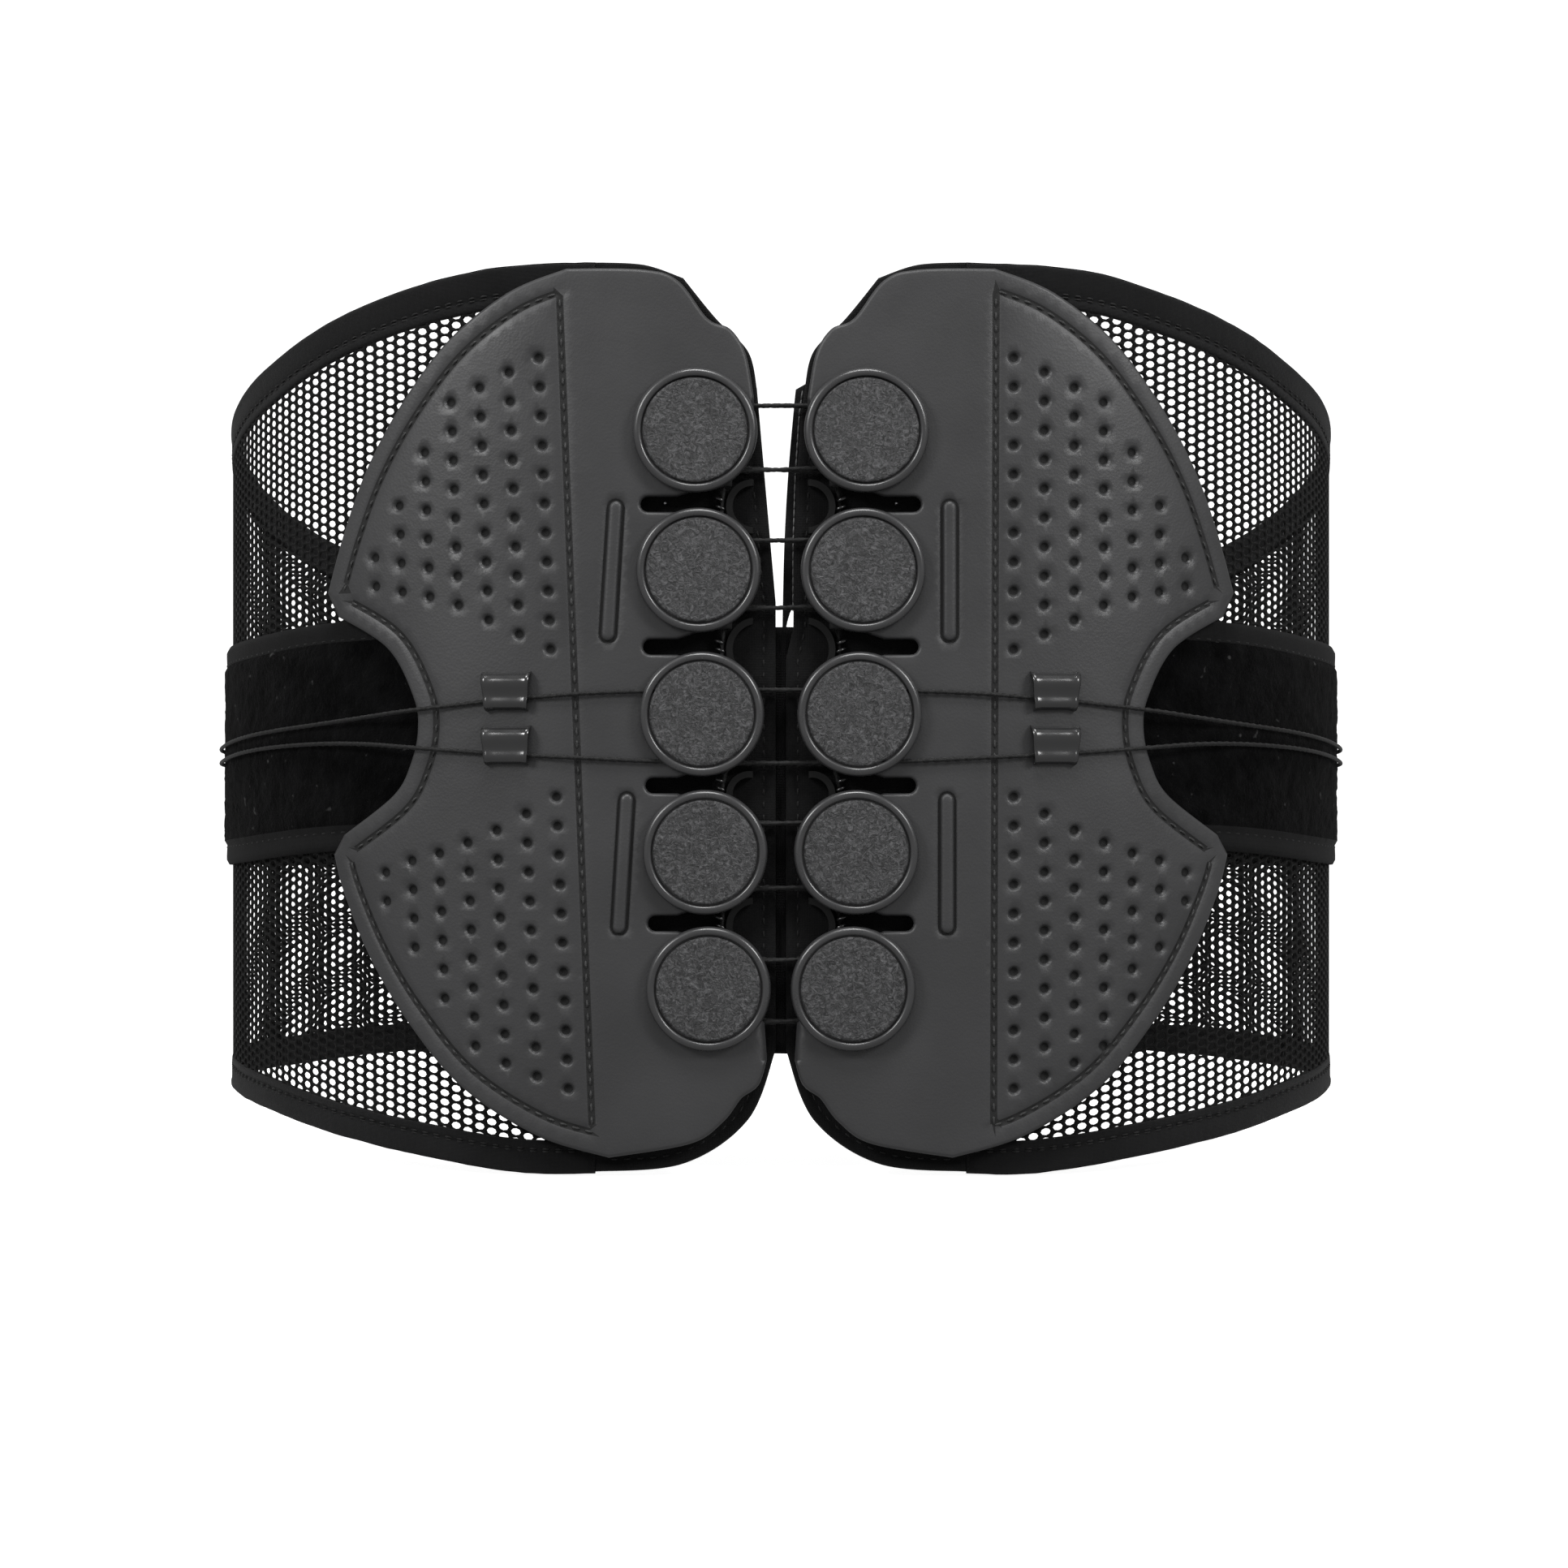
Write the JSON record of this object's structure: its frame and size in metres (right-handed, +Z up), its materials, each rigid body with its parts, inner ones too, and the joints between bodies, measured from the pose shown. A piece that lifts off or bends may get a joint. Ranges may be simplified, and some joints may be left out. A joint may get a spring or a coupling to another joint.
{
  "type": "back brace",
  "caption": "Lumbar back brace: two laced leather-like back wings with lacing discs and pulleys, open-mesh sides, plush straps, pull tabs and a front closure.",
  "frame": {"origin": "centre of the waist opening, at half the height of the back", "axes": "+Z up as worn; the laced back faces -Y and the front closure +Y; +X is the wearer's right seen from behind"},
  "size_m": [0.311, 0.2097, 0.2264],
  "materials": {
    "open_mesh": "open knit",
    "edge_binding": "woven",
    "plush_strap": "plush",
    "wing_leather": "fine grain, satin",
    "loop_plastic": "satin",
    "grained_insert": "sand grain",
    "cap_plastic": "satin",
    "lacing_cord": "braided",
    "pulley_plastic": "smooth",
    "rivet_metal": "brushed",
    "pad_lining": "brushed knit",
    "backing_fabric": "woven",
    "gusset_fabric": "stretch knit",
    "tab_plastic": "satin",
    "hook_tape": "hook"
  },
  "bodies": {
    "right_back": {"right_base_panel": "backing_fabric", "right_lumbar_pad": "pad_lining", "right_wing_foam": "backing_fabric", "right_wing_shell": "wing_leather", "right_cap_inserts": "grained_insert", "right_axle_rivets": "rivet_metal", "right_lace_guides": "pulley_plastic", "right_shell_ribs": "wing_leather", "right_cord_loops": "loop_plastic", "right_side_mesh": "open_mesh", "right_side_bindings": "edge_binding", "right_side_strap": "plush_strap", "right_upper_cord": "lacing_cord", "right_lower_cord": "lacing_cord", "right_cap_1": "cap_plastic", "right_cap_2": "cap_plastic", "right_cap_3": "cap_plastic", "right_cap_4": "cap_plastic", "right_cap_5": "cap_plastic", "centre_gusset": "gusset_fabric"},
    "right_front": {"right_front_mesh": "open_mesh", "right_front_bindings": "edge_binding", "right_front_strap": "plush_strap", "right_front_cords": "lacing_cord"},
    "right_tab": {"right_pull_tab": "tab_plastic"},
    "right_pulley_1": {"right_pulley_1": "pulley_plastic"},
    "right_pulley_2": {"right_pulley_2": "pulley_plastic"},
    "right_pulley_4": {"right_pulley_4": "pulley_plastic"},
    "right_pulley_5": {"right_pulley_5": "pulley_plastic"},
    "left_back": {"left_base_panel": "backing_fabric", "left_lumbar_pad": "pad_lining", "left_wing_foam": "backing_fabric", "left_wing_shell": "wing_leather", "left_cap_inserts": "grained_insert", "left_axle_rivets": "rivet_metal", "left_lace_guides": "pulley_plastic", "left_shell_ribs": "wing_leather", "left_cord_loops": "loop_plastic", "left_side_mesh": "open_mesh", "left_side_bindings": "edge_binding", "left_side_strap": "plush_strap", "left_upper_cord": "lacing_cord", "left_lower_cord": "lacing_cord", "left_cap_1": "cap_plastic", "left_cap_2": "cap_plastic", "left_cap_3": "cap_plastic", "left_cap_4": "cap_plastic", "left_cap_5": "cap_plastic"},
    "left_front": {"left_front_mesh": "open_mesh", "left_front_bindings": "edge_binding", "left_front_strap": "plush_strap", "left_front_cords": "lacing_cord", "closure_flap": "plush_strap", "hook_patch": "hook_tape"},
    "left_tab": {"left_pull_tab": "tab_plastic"},
    "left_pulley_1": {"left_pulley_1": "pulley_plastic"},
    "left_pulley_2": {"left_pulley_2": "pulley_plastic"},
    "left_pulley_4": {"left_pulley_4": "pulley_plastic"},
    "left_pulley_5": {"left_pulley_5": "pulley_plastic"}
  },
  "joints": [
    {"name": "half_draw", "type": "slide", "parent": "right_back", "child": "left_back", "axis": [1, 0, 0], "range_m": [-0.008, 0.002], "deforming": ["centre_gusset", "left_upper_cord", "left_lower_cord", "right_upper_cord", "right_lower_cord"]},
    {"name": "front_open", "type": "hinge", "parent": "left_back", "child": "left_front", "pos_m": [-0.1561, -0.001, 0], "axis": [0, 0, 1], "range_deg": [0, 70]},
    {"name": "right_front_open", "type": "hinge", "parent": "right_back", "child": "right_front", "pos_m": [0.1561, -0.001, 0], "axis": [0, 0, -1], "range_deg": [0, 70]},
    {"name": "left_tab_pull", "type": "hinge", "parent": "left_front", "child": "left_tab", "pos_m": [-0.0511, -0.001, 0], "axis": [0, 0, -1], "range_deg": [-23, 6.5], "deforming": ["left_front_cords"]},
    {"name": "right_tab_pull", "type": "hinge", "parent": "right_front", "child": "right_tab", "pos_m": [0.0511, -0.001, 0], "axis": [0, 0, 1], "range_deg": [-23, 6.5], "deforming": ["right_front_cords"]},
    {"name": "left_pulley_1_spin", "type": "hinge", "parent": "left_back", "child": "left_pulley_1", "pos_m": [-0.02108, -0.1015, 0.07], "axis": [0, -1, 0], "range_deg": [-66, 23]},
    {"name": "left_pulley_2_spin", "type": "hinge", "parent": "left_back", "child": "left_pulley_2", "pos_m": [-0.02025, -0.1015, 0.0356], "axis": [0, -1, 0], "range_deg": [-180, 51]},
    {"name": "left_pulley_4_spin", "type": "hinge", "parent": "left_back", "child": "left_pulley_4", "pos_m": [-0.01859, -0.1015, -0.0338], "axis": [0, -1, 0], "range_deg": [-51, 180]},
    {"name": "left_pulley_5_spin", "type": "hinge", "parent": "left_back", "child": "left_pulley_5", "pos_m": [-0.01778, -0.1015, -0.0674], "axis": [0, -1, 0], "range_deg": [-23, 66]},
    {"name": "right_pulley_1_spin", "type": "hinge", "parent": "right_back", "child": "right_pulley_1", "pos_m": [0.02108, -0.1015, 0.07], "axis": [0, -1, 0], "range_deg": [-23, 66]},
    {"name": "right_pulley_2_spin", "type": "hinge", "parent": "right_back", "child": "right_pulley_2", "pos_m": [0.02025, -0.1015, 0.0356], "axis": [0, -1, 0], "range_deg": [-51, 180]},
    {"name": "right_pulley_4_spin", "type": "hinge", "parent": "right_back", "child": "right_pulley_4", "pos_m": [0.01859, -0.1015, -0.0338], "axis": [0, -1, 0], "range_deg": [-180, 51]},
    {"name": "right_pulley_5_spin", "type": "hinge", "parent": "right_back", "child": "right_pulley_5", "pos_m": [0.01778, -0.1015, -0.0674], "axis": [0, -1, 0], "range_deg": [-66, 23]}
  ],
  "couplings": [
    {"joint": "right_front_open", "follows": "front_open", "ratio": 1},
    {"joint": "left_tab_pull", "follows": "half_draw", "rad_per_m": 48.077},
    {"joint": "right_tab_pull", "follows": "half_draw", "rad_per_m": 48.077},
    {"joint": "left_pulley_1_spin", "follows": "half_draw", "rad_per_m": 125},
    {"joint": "left_pulley_2_spin", "follows": "half_draw", "rad_per_m": 375},
    {"joint": "left_pulley_4_spin", "follows": "half_draw", "rad_per_m": -375},
    {"joint": "left_pulley_5_spin", "follows": "half_draw", "rad_per_m": -125},
    {"joint": "right_pulley_1_spin", "follows": "half_draw", "rad_per_m": -125},
    {"joint": "right_pulley_2_spin", "follows": "half_draw", "rad_per_m": -375},
    {"joint": "right_pulley_4_spin", "follows": "half_draw", "rad_per_m": 375},
    {"joint": "right_pulley_5_spin", "follows": "half_draw", "rad_per_m": 125}
  ]
}
